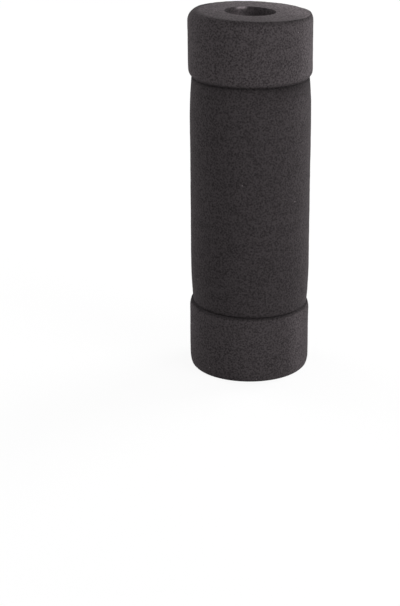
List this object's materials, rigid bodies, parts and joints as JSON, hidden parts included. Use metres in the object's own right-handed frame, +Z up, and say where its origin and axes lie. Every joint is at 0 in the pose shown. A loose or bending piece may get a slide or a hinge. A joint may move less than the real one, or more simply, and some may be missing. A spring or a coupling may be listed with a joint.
{
  "type": "handlebar grip",
  "caption": "Round slip-on foam grip for a straight handlebar, with a raised collar at each end and an open bore right through.",
  "frame": {"origin": "centre of the lower end face, on the axis of the bore; the end with the longer collar is the lower one", "axes": "+Z up along the bore, from the end with the longer collar to the end with the shorter one; the grip is round, so +X and +Y are any two directions across it"},
  "size_m": [0.0434, 0.0434, 0.13],
  "materials": {
    "foam": "matte ground closed-cell foam"
  },
  "bodies": {
    "root": {"grip": "foam"}
  },
  "joints": []
}
